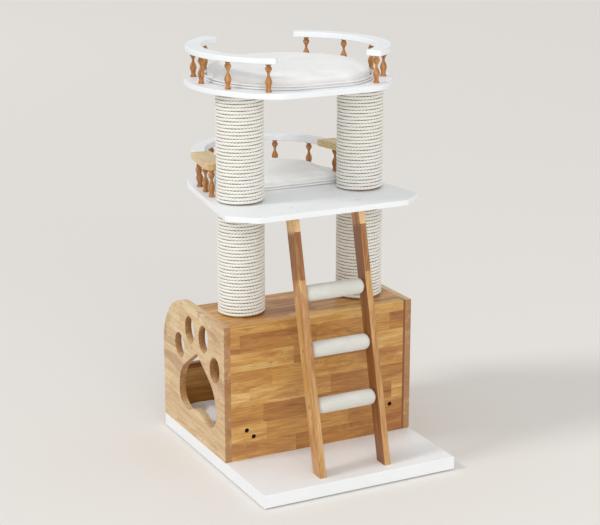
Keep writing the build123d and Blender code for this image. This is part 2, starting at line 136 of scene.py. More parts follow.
def area_light(name, place, aim, size, power, colour):
    """A square soft box that faces the point aim."""
    data = bpy.data.lights.new(name, "AREA")
    data.shape = "SQUARE"
    data.size = size
    data.energy = power
    data.color = colour
    lamp = bpy.data.objects.new(name, data)
    bpy.context.scene.collection.objects.link(lamp)
    lamp.location = place
    lamp.rotation_euler = (Vector(aim) - Vector(place)).to_track_quat("-Z", "Y").to_euler()
    print(name, power, "W from", place)


# The key is a distant soft lamp on the left: light from far away keeps the floor even from front to back.
key = bpy.data.objects.new("key", bpy.data.lights.new("key", "SUN"))
key.data.energy = 0.9
key.data.angle = math.radians(13)
key.rotation_euler = Vector((1.0, -0.12, -1.0)).to_track_quat("-Z", "Y").to_euler()
bpy.context.scene.collection.objects.link(key)

# The front fill is aimed at the middle of the tree. The other lamp only lifts the floor far behind it.
tree_middle = (0, 0, 0.45)
far_floor = (1.4, 6.6, 0)
area_light("front_fill", (-1.1, -4.6, 2.1), tree_middle, 3.0, 74, (1.0, 1.0, 1.0))
area_light("back_left_fill", (-1.6, 7.4, 3.0), far_floor, 3.0, 16, (1.0, 0.97, 0.94))
world = bpy.data.worlds.new("studio")
bpy.context.scene.world = world
world.use_nodes = True
world.node_tree.nodes["Background"].inputs["Color"].default_value = linear("feffff")
world.node_tree.nodes["Background"].inputs["Strength"].default_value = 0.675

# %% [markdown]
# ## Wood
# The house and ladder are rubberwood: short offcuts are finger-jointed end to end into staves about 40 mm
# wide, and the staves are glued edge to edge into boards, so a board is a patchwork of blocks whose grain
# runs one way and whose tints differ from straw to red-brown. A texture painted by hand would not follow
# each board, so the pattern is worked out from the distance along and across the grain: a random number
# per stave gives its block length, one per block gives its tint and moves its grain.

# %% Staves and blocks
finger_half = 4 * MM
finger_slope = 2.5
stave_shift = 37.7


def measured_along(tree, point, direction):
    """Distance of the shaded point along a direction, in metres."""
    return add(tree, "VectorMath", {0: point, 1: direction}, operation="DOT_PRODUCT").outputs["Value"]


def staves_and_blocks(tree, u, v, w, stave, shortest, longest, seed):
    """Finds the stave and the block of a place; u is along the grain, v across it and w through the board.

    Returns the place counted in staves, the place counted in blocks, the distance along the grain with the
    finger joints in it, and the block's random number and colour.
    """
    row_place = add(tree, "Math", {0: v, 1: 1 / stave, 2: seed}, operation="MULTIPLY_ADD").outputs[0]
    row = add(tree, "Math", {0: row_place}, operation="FLOOR").outputs[0]
    row_random = add(tree, "TexWhiteNoise", {"W": row}, noise_dimensions="1D").outputs["Value"]
    length = add(tree, "MapRange", {"Value": row_random, 3: 1 / longest, 4: 1 / shortest}).outputs[0]
    shift = add(tree, "Math", {0: row_random, 1: stave_shift}, operation="MULTIPLY").outputs[0]
    # The fingers are cut through the thickness: they zigzag on a board's edge and are straight on its face.
    finger = add(tree, "Math", {0: w, 1: finger_half}, operation="PINGPONG").outputs[0]
    with_finger = add(tree, "Math", {0: finger, 1: finger_slope, 2: u}, operation="MULTIPLY_ADD").outputs[0]
    block_place = add(tree, "Math", {0: with_finger, 1: length, 2: shift},
                      operation="MULTIPLY_ADD").outputs[0]
    block = add(tree, "Math", {0: block_place}, operation="FLOOR").outputs[0]
    block_id = add(tree, "CombineXYZ", {0: row, 1: block, 2: seed}).outputs[0]
    random = add(tree, "TexWhiteNoise", {"Vector": block_id}, noise_dimensions="3D").outputs
    return row_place, block_place, with_finger, random


def glue_lines(tree, row_place, block_place):
    """A hair of shade where two staves or two blocks meet."""
    row_edge = add(tree, "Math", {0: row_place, 1: 0.5}, operation="PINGPONG").outputs[0]
    row_line = add(tree, "MapRange", {"Value": row_edge, 1: 0.0, 2: 0.012, 3: 0.22, 4: 0.0}).outputs[0]
    block_edge = add(tree, "Math", {0: block_place, 1: 0.5}, operation="PINGPONG").outputs[0]
    block_line = add(tree, "MapRange", {"Value": block_edge, 1: 0.0, 2: 0.0026, 3: 0.25, 4: 0.0}).outputs[0]
    return add(tree, "Math", {0: row_line, 1: block_line}, operation="MAXIMUM").outputs[0]


print("finger joints", round(2 * finger_half / MM), "mm apart")

# %% [markdown]
# Inside a block the tint changes with the growth rings, with streaks and with fibres. Each is a noise
# stretched along the grain, and what they add up to picks a colour between pale and dark wood.

# %% Grain and shade
def grain_noise(tree, flat, moves, along, cross, detail, distortion=0.0):
    """Noise stretched along the grain; along and cross are how many features a metre holds."""
    scaled = add(tree, "VectorMath", {0: flat, 1: (along, cross, cross)}, operation="MULTIPLY").outputs[0]
    moved = add(tree, "VectorMath", {0: scaled, 1: moves}, operation="ADD").outputs[0]
    return add(tree, "TexNoise", {"Vector": moved, "Scale": 1.0, "Detail": detail, "Distortion": distortion,
                                  "Roughness": 0.6}).outputs[0]


def darker_stretches(tree, blend, along, shifts):
    """Darkens stretches of the distance along the grain; each has its start, its stop and how much."""
    for start, stop, darker in shifts:
        after = add(tree, "Math", {0: along, 1: start}, operation="GREATER_THAN").outputs[0]
        before = add(tree, "Math", {0: along, 1: stop}, operation="LESS_THAN").outputs[0]
        within = add(tree, "Math", {0: after, 1: before}, operation="MULTIPLY").outputs[0]
        blend = add(tree, "Math", {0: within, 1: darker, 2: blend}, operation="MULTIPLY_ADD").outputs[0]
    return blend


def darker_faces(tree, blend, grain, across, heart_and_shade_side):
    """Darkens end grain, which drinks the lacquer, and the faces that look against the across direction."""
    facing = add(tree, "NewGeometry").outputs["Normal"]
    along_grain = add(tree, "Math", {0: measured_along(tree, facing, grain)}, operation="ABSOLUTE").outputs[0]
    end_grain = add(tree, "MapRange", {"Value": along_grain, 1: 0.45, 2: 0.95, 3: 0.0, 4: 0.5}).outputs[0]
    blend = add(tree, "Math", {0: blend, 1: end_grain}, operation="ADD").outputs[0]
    # The faces against the across direction are darkened partly as heartwood and partly as painted shade.
    across_face = measured_along(tree, facing, -across)
    heart_and_shade_face = add(tree, "MapRange", {"Value": across_face, 1: 0.4, 2: 0.9, 3: 0.0, 4: heart_and_shade_side})
    return add(tree, "Math", {0: blend, 1: heart_and_shade_face.outputs[0]}, operation="ADD").outputs[0]


# %% Lacquered wood
ring_gap = 0.035
streak_share = 1.15
fibre_share = 0.7


def lacquered_wood(name, grain, across, tints, stave=0.040, shortest=0.15, longest=0.32, seed=0.0, gloss=0.42,
                   blocks=0.45, figure=0.5, flush=0.5, shifts=(), heart_and_shade_side=0.0):
    """Clear-lacquered jointed wood. grain and across are directions; tints runs from pale to dark.

    blocks, figure and flush say how much the block tints, the growth rings and the reddish heartwood show.
    Each of shifts is a stretch of the distance along the grain, from and to, and how much darker it is.
    The last argument darkens the faces against the across direction: partly heartwood, partly painted shade.
    """
    material, tree, shader = new_material(name, Roughness=gloss, IOR=1.5, Coat_Weight=0.15,
                                          Coat_Roughness=0.3)
    point = add(tree, "TexCoord").outputs["Object"]
    grain, across = Vector(grain).normalized(), Vector(across).normalized()
    u = measured_along(tree, point, grain)
    v = measured_along(tree, point, across)
    w = measured_along(tree, point, grain.cross(across))
    row_place, block_place, with_finger, random = staves_and_blocks(
        tree, u, v, w, stave, shortest, longest, seed)
    flat = add(tree, "CombineXYZ", {0: u, 1: v, 2: w}).outputs[0]
    jump = add(tree, "VectorMath", {0: random["Color"], 1: (9, 9, 9)}, operation="MULTIPLY").outputs[0]

    # Growth rings are the contour lines of a slow noise, which gives the arches seen on flat-sawn boards.
    slow = grain_noise(tree, flat, jump, 3.0, 24, 1.5, 0.4)
    rings = add(tree, "Math", {0: slow, 1: ring_gap}, operation="PINGPONG").outputs[0]
    ring_line = add(tree, "MapRange", {"Value": rings, 1: 0.0, 2: ring_gap}).outputs[0]
    streak = grain_noise(tree, flat, jump, 6, 62, 5.0)
    fibre = grain_noise(tree, flat, jump, 14, 520, 3.0)
    pores = grain_noise(tree, flat, jump, 45, 1300, 2.0)
    # Heartwood runs through several blocks as reddish clouds, drawn out along the grain.
    heart = grain_noise(tree, flat, (seed, seed, seed), 5.0, 20, 4.0, 0.8)

    blend = add(tree, "Math", {0: ring_line, 1: figure}, operation="MULTIPLY").outputs[0]
    for part, share in ((random["Value"], blocks), (streak, streak_share), (fibre, fibre_share)):
        blend = add(tree, "Math", {0: part, 1: share, 2: blend}, operation="MULTIPLY_ADD").outputs[0]
    blend = darker_stretches(tree, blend, with_finger, shifts)
    blend = darker_faces(tree, blend, grain, across, heart_and_shade_side)
    centre = (figure + blocks + streak_share + fibre_share) / 2
    reach = 0.42 + 0.3 * blocks
    place = add(tree, "MapRange", {"Value": blend, 1: centre - reach, 2: centre + reach}).outputs[0]
    stops = [(i / (len(tints) - 1), linear(tint)) for i, tint in enumerate(tints)]
    colour = add(tree, "ValToRGB", {"Fac": place}, stops=stops).outputs[0]

    # Late wood is a thin dark line at each ring, broken up by the fibres.
    ring_edge = add(tree, "MapRange", {"Value": rings, 1: 0.0, 2: 0.005, 3: 0.60, 4: 0.0}).outputs[0]
    broken = add(tree, "MapRange", {"Value": fibre, 1: 0.40, 2: 0.58, 3: 0.25, 4: 1.0}).outputs[0]
    late_wood = add(tree, "Math", {0: ring_edge, 1: broken}, operation="MULTIPLY").outputs[0]
    heart_mask = add(tree, "MapRange", {"Value": heart, 1: 0.52, 2: 0.64, 3: 0.0, 4: flush}).outputs[0]
    pore_mask = add(tree, "MapRange", {"Value": pores, 1: 0.60, 2: 0.70, 3: 0.0, 4: 0.5}).outputs[0]
    glue = glue_lines(tree, row_place, block_place)
    layers = ((heart_mask, "98552b"), (late_wood, "7d4a22"), (pore_mask, "6f4420"), (glue, "6b3f1d"))
    for mask, hex_colour in layers:
        colour = add(tree, "Mix", {"Factor": mask, 6: colour, 7: linear(hex_colour)},
                     data_type="RGBA").outputs[2]
    tree.links.new(colour, shader.inputs["Base Color"])

    rough = add(tree, "MapRange", {"Value": streak, 3: gloss - 0.06, 4: gloss + 0.10}).outputs[0]
    tree.links.new(rough, shader.inputs["Roughness"])
    height = add(tree, "Math", {0: fibre, 1: pore_mask}, operation="SUBTRACT").outputs[0]
    bump = add(tree, "Bump", {"Height": height, "Strength": 0.25, "Distance": 0.0003}).outputs[0]
    tree.links.new(bump, shader.inputs["Normal"])
    print(name, "of", len(tints), "tints, staves", round(stave / MM), "mm wide")
    return material


# %% [markdown]
# The front, the back and the roof of the house are amber wood whose grain runs from side to side. The two
# ends are a paler wood whose grain runs from front to back.

# %% House boards
X, Y, Z = Vector((1, 0, 0)), Vector((0, 1, 0)), Vector((0, 0, 1))
amber = ["ebcb92", "d8a95e", "c28b44", "aa7034", "855026"]
tan = ["f0d9b4", "e7cda0", "dcbc8e", "cba574", "ad8052"]
# The front panel's last hair at either end lies in the shade of its joint with an end panel.
shaded_hair = 1.2 * MM
shade_strength = 1.2
panel_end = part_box("front_panel")[1].x - shaded_hair
joint_shade = [(panel_end, 1, shade_strength), (-1, -panel_end, shade_strength)]
front_wood = lacquered_wood("rubberwood_front", X, Z, amber, seed=3.3, figure=0.2, blocks=0.55,
                            shifts=joint_shade)
back_wood = lacquered_wood("rubberwood_back", X, Z, amber, seed=11.7, figure=0.2)
roof_wood = lacquered_wood("rubberwood_roof", X, Y, amber, seed=5.2, figure=0.2)
end_wood = lacquered_wood("rubberwood_ends", Y, Z, tan, seed=8.45, blocks=0.3, figure=0.16, flush=0.42)
house = {"front_panel": front_wood, "back_panel": back_wood, "top_board": roof_wood,
         "left_end_panel": end_wood, "right_end_panel": end_wood, "corner_blocks": front_wood}
for name, wood in house.items():
    finish_with(nodes[name], wood)
print(len(house), "nodes of the house finished")

# %% [markdown]
# Each ladder side is one bar of three blocks: a pale one under the platform, a red-brown one below it and
# then a long straw-coloured one. Their joints are at measured distances along the bar, so they are given
# to the wood directly.

# %% Ladder sides
half_foot = 17.5 * MM
low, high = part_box("ladder_left_stringer")
foot_y = low.y + half_foot
head_y = high.y - half_foot
lean = Vector((0, head_y - foot_y, high.z - low.z)).normalized()
head_along = Vector((0, head_y, high.z)).dot(lean)
pale_block, red_block = 34 * MM, 100 * MM
shifts = [(head_along - pale_block, head_along + 1, -0.42),
          (head_along - pale_block - red_block, head_along - pale_block, 0.36)]
straw = ["e9c48f", "dcb27a", "cb9a5e", "b27f47", "8f5a30"]
# The right side's inner face is darker: partly heartwood, partly painted shade from the left side beside it.
for side, heart_and_shade_side in (("left", 0.0), ("right", 0.5)):
    bar_wood = lacquered_wood(f"rubberwood_ladder_{side}", lean, X, straw, stave=0.4, shortest=2.0,
                              longest=2.1, seed=1.9, blocks=0.1, figure=0.2, flush=0.5, shifts=shifts,
                              heart_and_shade_side=heart_and_shade_side)
    finish_with(nodes[f"ladder_{side}_stringer"], bar_wood)
print("the ladder leans", round(math.degrees(math.atan2(lean.y, lean.z)), 1), "degrees")

# %% [markdown]
# The arm rests are a paler wood, and the balusters are turned from straight-grained wood with an
# orange-brown stain. Both use the same lacquered wood, with the grain along the piece and no joints to
# see.

# %% Arm rests and balusters
pale_tints = ["ecd7ac", "e3ca9a", "d8bb86", "c9a870"]
arm_wood = lacquered_wood("pale_wood", Y, X, pale_tints, stave=0.03, shortest=0.12, longest=0.25, seed=2.2,
                          blocks=0.25, flush=0.15)
stain = ["dba765", "c68d4c", "ad723a", "8d5428"]
baluster_wood = lacquered_wood("stained_turning_wood", Z, X, stain, stave=0.9, shortest=2.0, longest=2.1,
                               seed=0.4, gloss=0.33, blocks=0.1, flush=0.3)
for name, node in nodes.items():
    if "arm_rest" in name:
        finish_with(node, arm_wood)
    elif "baluster" in name:
        finish_with(node, baluster_wood)

# %% [markdown]
# ## White paint
# The base, platforms and rails are sprayed with satin white. Spray leaves a very faint orange-peel
# surface and edges a touch smoother than the faces; only the orange peel is made here.

# %% White boards
def sprayed_white(name, hex_colour):
    """Satin sprayed paint: nearly even white with a faint orange peel."""
    material, tree, shader = new_material(name, Roughness=0.42, IOR=1.5)
    point = add(tree, "TexCoord").outputs["Object"]
    cloud = add(tree, "TexNoise", {"Vector": point, "Scale": 9.0, "Detail": 3.0}).outputs[0]
    stops = [(0.3, linear(hex_colour)), (0.7, linear("f5f7f9"))]
    tone = add(tree, "ValToRGB", {"Fac": cloud}, stops=stops).outputs[0]
    tree.links.new(tone, shader.inputs["Base Color"])
    peel = add(tree, "TexNoise", {"Vector": point, "Scale": 900.0, "Detail": 2.0}).outputs[0]
    rough = add(tree, "MapRange", {"Value": cloud, 3: 0.36, 4: 0.50}).outputs[0]
    tree.links.new(rough, shader.inputs["Roughness"])
    bump = add(tree, "Bump", {"Height": peel, "Strength": 0.12, "Distance": 0.0002}).outputs[0]
    tree.links.new(bump, shader.inputs["Normal"])
    return material


white_paint = sprayed_white("satin_white_paint", "f0f2f4")
painted = ("base_board", "middle_platform", "top_platform", "middle_back_rail", "top_left_rail",
           "top_right_rail")
for name in painted:
    finish_with(nodes[name], white_paint)
print(len(painted), "pieces painted white")

# %% [markdown]
# ## Parts that hardly show
# Card tubes, plugs, dowels, steel fasteners and rubber pads sit inside or underneath.

# %% Hidden finishes
def speckled(name, dark, light, scale, roughness, metallic=0.0):
    """A plain finish with a fine irregular tone and a fine bump."""
    material, tree, shader = new_material(name, Metallic=metallic, Roughness=roughness)
    point = add(tree, "TexCoord").outputs["Object"]
    fleck = add(tree, "TexNoise", {"Vector": point, "Scale": scale, "Detail": 4.0}).outputs[0]
    stops = [(0.35, linear(dark)), (0.65, linear(light))]
    tone = add(tree, "ValToRGB", {"Fac": fleck}, stops=stops).outputs[0]
    tree.links.new(tone, shader.inputs["Base Color"])
    bump = add(tree, "Bump", {"Height": fleck, "Strength": 0.2, "Distance": 0.0002}).outputs[0]
    tree.links.new(bump, shader.inputs["Normal"])
    return material


card = speckled("brown_card", "8d7355", "a98d6b", 400, 0.9)
rubber = speckled("black_rubber", "1c1c1c", "2a2a2a", 700, 0.75)
zinc = speckled("zinc_plated_steel", "b4b4b2", "d0d0ce", 500, 0.32, 1.0)
black_steel = speckled("blackened_steel", "1f1c1a", "2e2a27", 500, 0.4, 1.0)
hidden = {"post_tubes": card, "non_slip_pads": rubber, "post_insert_nuts": zinc, "post_bolts": zinc,
          "base_screws": zinc, "platform_screws": zinc, "rung_screws": zinc,
          "corner_block_bolts": black_steel, "post_end_plugs": baluster_wood,
          "house_dowels": baluster_wood, "rung_dowels": baluster_wood}
for name, finish in hidden.items():
    finish_with(nodes[name], finish)
print(len(hidden), "hidden nodes finished")

# %% [markdown]
# ## Rope on the posts
# Each post is a card tube wound with 31 turns of 7 mm three-strand cotton rope. A turn could be a ring,
# stacked over and over, but a real winding climbs, so a circle is swept up a helix with the Screw
# modifier. The three strands are then pressed into its round section: the section gets three lobes that
# turn once in each lay of the rope.

# %% Wind one post
def deselect():
    bpy.ops.object.select_all(action="DESELECT")


def only(piece):
    """Makes piece the only selected object, and the active one."""
    deselect()
    piece.select_set(True)
    bpy.context.view_layer.objects.active = piece


def apply_all_modifiers(piece):
    only(piece)
    for modifier in list(piece.modifiers):
        bpy.ops.object.modifier_apply(modifier=modifier.name)


def points_of(mesh):
    """The mesh's vertices as rows of x, y, z."""
    co = np.empty(len(mesh.vertices) * 3)
    mesh.vertices.foreach_get("co", co)
    return co.reshape(-1, 3)


def set_points(mesh, co):
    mesh.vertices.foreach_set("co", co.ravel())
    mesh.update()


post_low, post_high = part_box("upper_left_rope_wrap")
post_height = post_high.z - post_low.z
post_radius = (post_high.x - post_low.x) / 2
rope = 7 * MM
# Turns laid by hand sit a little apart, so a turn takes this many thicknesses of rope.
hand_gap = 1.028
rope_line = post_radius - rope / 2
turns = round((post_height - rope) / (rope * hand_gap))
pitch = (post_height - rope) / turns
steps, section = 150, 16
lay = 21 * MM
strands = 3
print(turns, "turns, one each", round(pitch / MM, 2), "mm")

deselect()
bpy.ops.mesh.primitive_circle_add(vertices=section, radius=rope / 2, location=(rope_line, 0, rope / 2),
                                  rotation=(math.pi / 2, 0, 0))
winding = bpy.context.object
bpy.ops.object.transform_apply(location=True, rotation=True, scale=True)
sweep = winding.modifiers.new("winding", "SCREW")
sweep.angle = 2 * math.pi
sweep.screw_offset = pitch
sweep.iterations = turns
sweep.steps = sweep.render_steps = steps
apply_all_modifiers(winding)
rings = len(winding.data.vertices) // section
print("rope rings", rings, "of", section, "points")

# %% Press the strands into the rope
valley_sharpness = 1.5
valley_depth = 0.21
wobble_share = 0.6
co = points_of(winding.data).reshape(rings, section, 3)
centre = co.mean(1, keepdims=True)
spoke = co - centre
along = np.arange(rings) * math.hypot(2 * math.pi * rope_line, pitch) / steps
outward = centre / np.linalg.norm(centre * [1, 1, 0], axis=2, keepdims=True) * [1, 1, 0]
facing = (spoke * outward).sum(2) / (rope / 2)
around = np.arctan2(spoke[:, :, 2] / (rope / 2), facing)
lobe = np.abs(np.cos(strands / 2 * (around - 2 * math.pi * along[:, None] / lay)))
valley = (1 - lobe) ** valley_sharpness
# A hand-wound rope sits a little in and out, and up and down, with no turn quite like the next.
wobble = 0.00022 * np.sin(along * 61) + 0.00016 * np.sin(along * 173 + 1.0)
rise = 0.00018 * np.sin(along * 97 + 2.0)
co = centre + spoke * (1 - valley_depth * valley[:, :, None])
co += outward * wobble[:, None, None] * wobble_share
co[:, :, 2] += rise[:, None]
set_points(winding.data, co.reshape(-1, 3))

bpy.ops.object.mode_set(mode="EDIT")
bpy.ops.mesh.select_all(action="SELECT")
bpy.ops.mesh.fill_holes(sides=0)
bpy.ops.mesh.select_all(action="SELECT")
bpy.ops.mesh.normals_make_consistent(inside=False)
bpy.ops.object.mode_set(mode="OBJECT")
bpy.ops.object.shade_smooth()
# The finish reads this shade: it is dark between two strands and where a turn faces the next or the tube.
shade = winding.data.attributes.new("rope_shade", "FLOAT", "POINT")
open_facing = 0.50
buried = np.clip((open_facing - facing) / open_facing, 0, 1)
shade.data.foreach_set("value", np.clip(0.85 * valley + buried, 0, 1).astype(np.float32).ravel())
print(len(winding.data.polygons), "faces in one winding")

# %% Cotton rope
def cotton_rope():
    """Undyed cotton rope: off-white and hairy, darker between strands and turns, where shade gathers."""
    material, tree, shader = new_material("undyed_cotton_rope", Roughness=0.95, Specular_IOR_Level=0.2,
                                          Sheen_Weight=0.15, Sheen_Roughness=0.6)
    point = add(tree, "TexCoord").outputs["Object"]
    shade = add(tree, "Attribute", attribute_name="rope_shade").outputs["Fac"]
    yarn = add(tree, "TexNoise", {"Vector": point, "Scale": 950.0, "Detail": 4.0}).outputs[0]
    patch = add(tree, "TexNoise", {"Vector": point, "Scale": 70.0, "Detail": 2.0}).outputs[0]
    depth = add(tree, "Math", {0: yarn, 1: 0.35, 2: shade}, operation="MULTIPLY_ADD").outputs[0]
    depth = add(tree, "Math", {0: patch, 1: 0.22, 2: depth}, operation="MULTIPLY_ADD").outputs[0]
    stops = [(0.18, linear("f8f6f0")), (0.45, linear("efece4")), (0.75, linear("b4ae9e")),
             (1.0, linear("655f50"))]
    place = add(tree, "MapRange", {"Value": depth, 1: 0.1, 2: 1.3}).outputs[0]
    colour = add(tree, "ValToRGB", {"Fac": place}, stops=stops).outputs[0]
    tree.links.new(colour, shader.inputs["Base Color"])
    bump = add(tree, "Bump", {"Height": yarn, "Strength": 0.5, "Distance": 0.0005}).outputs[0]
    tree.links.new(bump, shader.inputs["Normal"])
    return material


finish_with(winding, cotton_rope())

# %% Put a winding on each post
for start, post in zip((100, 75, 120, 60), ("upper_left", "upper_right", "lower_left", "lower_right")):
    low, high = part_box(f"{post}_rope_wrap")
    piece = bpy.data.objects.new(f"{post}_rope", winding.data.copy())
    bpy.context.scene.collection.objects.link(piece)
    place = Vector(((low.x + high.x) / 2, (low.y + high.y) / 2, low.z))
    piece.data.transform(Matrix.Translation(place) @ Matrix.Rotation(math.radians(start), 4, "Z"))
    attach(piece, "frame")
    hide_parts(f"{post}_rope_wrap")
    print(piece.name, "starts at", start, "degrees")
bpy.data.objects.remove(winding)

# %% [markdown]
# ## Cushions
# The two cushions and the house mat are plush covers with a soft filling. A block with rounded edges
# would look like foam, so each starts as its plain solid, is remeshed to even quads, made a little
# smaller and crowned, and is then blown up as cloth: the pressure makes it swell between its edges and
# wrinkle where the cloth is short. The bottom stays flat, because it is pinned where it rests. Two rows
# of covered cord are sewn round its lower edge.

# %% Plush
def plush(name, pale, deep, pile=800.0, sheen=0.3):
    """Short-pile plush: tufts about a millimetre across, soft at grazing angles, with brushed patches."""
    material, tree, shader = new_material(name, Roughness=1.0, Specular_IOR_Level=0.15, Sheen_Weight=sheen,
                                          Sheen_Roughness=0.45)
    point = add(tree, "TexCoord").outputs["Object"]
    tuft = add(tree, "TexNoise", {"Vector": point, "Scale": pile, "Detail": 3.0}).outputs[0]
    brushed = add(tree, "TexNoise", {"Vector": point, "Scale": 22.0, "Detail": 3.0,
                                     "Distortion": 0.6}).outputs[0]
    mix = add(tree, "Math", {0: brushed, 1: 0.8, 2: tuft}, operation="MULTIPLY_ADD").outputs[0]
    place = add(tree, "MapRange", {"Value": mix, 1: 0.55, 2: 1.25}).outputs[0]
    colour = add(tree, "ValToRGB", {"Fac": place}, stops=[(0, linear(deep)), (1, linear(pale))]).outputs[0]
    tree.links.new(colour, shader.inputs["Base Color"])
    height = add(tree, "Math", {0: brushed, 1: 1.5, 2: tuft}, operation="MULTIPLY_ADD").outputs[0]
    bump = add(tree, "Bump", {"Height": height, "Strength": 0.35, "Distance": 0.0008}).outputs[0]
    tree.links.new(bump, shader.inputs["Normal"])
    return material


white_plush = plush("white_plush", "f6f5f4", "e6e5e4")
rung_fleece = plush("rung_fleece", "e2e0d9", "cfcdc4", pile=1100.0, sheen=0.15)

# %% Puff a cushion up
frames = 20
cloth_stiffness = 8.0


def body_copy(name, node, voxel):
    """A remeshed copy of a plain CAD solid, as a new piece."""
    piece = bpy.data.objects.new(name, nodes[node].data.copy())
    bpy.context.scene.collection.objects.link(piece)
    only(piece)
    bpy.ops.object.mode_set(mode="EDIT")
    bpy.ops.mesh.select_all(action="SELECT")
    bpy.ops.mesh.remove_doubles(threshold=0.00002)
    bpy.ops.object.mode_set(mode="OBJECT")
    piece.data.remesh_voxel_size = voxel
    bpy.ops.object.voxel_remesh()
    return piece


def inflate(piece, pressure, cap, pinned):
    """Blows the piece up as cloth, holding the pinned points and letting no point move further than cap."""
    before = points_of(piece.data)
    group = piece.vertex_groups.new(name="pinned")
    group.add([int(i) for i in np.nonzero(pinned)[0]], 1.0, "REPLACE")
    cloth = piece.modifiers.new("stuffing", "CLOTH")
    settings = cloth.settings
    settings.quality = 6
    settings.mass = 0.25
    settings.use_pressure = True
    settings.uniform_pressure_force = pressure
    settings.tension_stiffness = settings.compression_stiffness = cloth_stiffness
    settings.shear_stiffness = cloth_stiffness
    settings.bending_stiffness = 0.6
    settings.vertex_group_mass = "pinned"
    settings.effector_weights.gravity = 0
    scene = bpy.context.scene
    for step in range(1, frames + 1):
        scene.frame_set(step)
    swollen = piece.evaluated_get(bpy.context.evaluated_depsgraph_get())
    after = points_of(swollen.data)
    move = after - before
    size = np.linalg.norm(move, axis=1, keepdims=True)
    move *= np.minimum(1, cap / np.maximum(size, 1e-9))
    piece.modifiers.remove(cloth)
    scene.frame_set(1)
    set_points(piece.data, before + move)
    piece.vertex_groups.clear()
    most = round(float(size.max()) / MM, 1)
    print(piece.name, "swelled by up to", most, "mm, capped at", round(cap / MM, 1))


def soften(piece):
    """One subdivision, applied, and smooth shading."""
    finer = piece.modifiers.new("finer", "SUBSURF")
    finer.levels = finer.render_levels = 1
    apply_all_modifiers(piece)
    bpy.ops.object.shade_smooth()


# %% Measure a cushion and cord its edge
outline_points = 240
wall_share = 0.35


def edge_distance(co, outline):
    """Distance of each point from the nearest point of a closed outline, in the floor plane."""
    near = np.full(len(co), np.inf)
    for x, y in outline:
        near = np.minimum(near, np.hypot(co[:, 0] - x, co[:, 1] - y))
    return near


def outline_of(node):
    """The outline of a cushion's CAD solid, seen from above, as evenly spaced points."""
    co = points_of(nodes[node].data)
    bottom, top = co[:, 2].min(), co[:, 2].max()
    middle_height = (bottom + top) / 2
    wall = co[np.abs(co[:, 2] - middle_height) < wall_share * (top - bottom)][:, :2]
    centre = (wall.max(0) + wall.min(0)) / 2
    order = np.argsort(np.arctan2(wall[:, 1] - centre[1], wall[:, 0] - centre[0]))
    loop = wall[order]
    loop = np.vstack([loop, loop[:1]])
    length = np.concatenate([[0], np.cumsum(np.hypot(*np.diff(loop, axis=0).T))])
    spots = np.linspace(0, length[-1], outline_points, endpoint=False)
    return np.column_stack([np.interp(spots, length, loop[:, axis]) for axis in (0, 1)])


def piping(name, outline, height, radius, finish):
    """A covered cord sewn round a cushion's lower edge."""
    curve = bpy.data.curves.new(name, "CURVE")
    curve.dimensions = "3D"
    line = curve.splines.new("NURBS")
    line.points.add(len(outline) - 1)
    for spot, (x, y) in zip(line.points, outline):
        spot.co = (x, y, height, 1)
    line.order_u = 4
    line.use_cyclic_u = True
    line.resolution_u = 2
    curve.bevel_depth = radius
    curve.bevel_resolution = 3
    piece = bpy.data.objects.new(name, curve)
    bpy.context.scene.collection.objects.link(piece)
    only(piece)
    bpy.ops.object.convert(target="MESH")
    piece = bpy.context.object
    piece.data.name = name
    bpy.ops.object.shade_smooth()
    finish_with(piece, finish)
    return piece


# %% Make a cushion
room_to_swell = 4 * MM
resting_height = 2.0 * MM
cushion_pressure = 4.0
cord_inset = 1.2 * MM
lower_cord, upper_cord = (2.6 * MM, 2.0 * MM), (8.2 * MM, 1.7 * MM)


def cushion(name, node, body, rim, crown, voxel=5 * MM, cap=7 * MM, crown_reach=70 * MM):
    """A stuffed cushion in the place of its CAD solid: crowned in the middle and flat underneath.

    rim and crown are its heights at the edge and in the middle; lower_cord and upper_cord are each a cord's
    height and radius.
    """
    piece = body_copy(name, node, voxel)
    low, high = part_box(node)
    outline = outline_of(node)
    co = points_of(piece.data)
    from_edge = edge_distance(co, outline)
    rise = rim + (crown - rim) * np.sin(np.clip(from_edge / crown_reach, 0, 1) * math.pi / 2)
    co[:, 2] = low.z + (co[:, 2] - low.z) * rise / (high.z - low.z)
    centre = np.array([(low.x + high.x) / 2, (low.y + high.y) / 2])
    half = np.array([(high.x - low.x) / 2, (high.y - low.y) / 2])
    co[:, :2] = centre + (co[:, :2] - centre) * (half - room_to_swell) / half
    set_points(piece.data, co)
    inflate(piece, cushion_pressure, cap, co[:, 2] < low.z + resting_height)
    co = points_of(piece.data)
    co[:, 2] = np.maximum(co[:, 2], low.z)
    set_points(piece.data, co)
    soften(piece)
    finish_with(piece, white_plush)
    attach(piece, body)
    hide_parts(node)
    seam_line = centre + (outline - centre) * (half - cord_inset) / half
    trim = piping(name + "_piping", seam_line, low.z + lower_cord[0], lower_cord[1], white_plush)
    upper_trim = piping(name + "_upper_piping", seam_line, low.z + upper_cord[0], upper_cord[1], white_plush)
    only(trim)
    upper_trim.select_set(True)
    bpy.ops.object.join()
    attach(trim, body)
    top = points_of(piece.data)[:, 2].max()
    print(name, "faces", len(piece.data.polygons), "top at", round(top / MM, 1), "mm")


# %% Top cushion
cushion("top_cushion_cover", "top_cushion", "top_cushion_body", 24 * MM, 28 * MM, cap=4.5 * MM)

# %% Middle cushion
cushion("middle_cushion_cover", "middle_cushion", "middle_cushion_body", 20 * MM, 23 * MM, cap=4 * MM)

# %% [markdown]
# The house mat fills the floor of the house. Its edges press against the boards, so it is fuller than the
# cushions.

# %% House mat
cushion("house_mat_cover", "house_cushion", "house_cushion_body", 20 * MM, 30 * MM, voxel=6 * MM,
        crown_reach=45 * MM)

# %% [markdown]
# ## Rung covers
# Each rung is a dowel in a padded fleece sleeve whose ends close round the wood. A lathe shape is right
# for it: a cylinder whose end edges are rounded over, remeshed and blown up a little like the cushions,
# pinned at its ends.

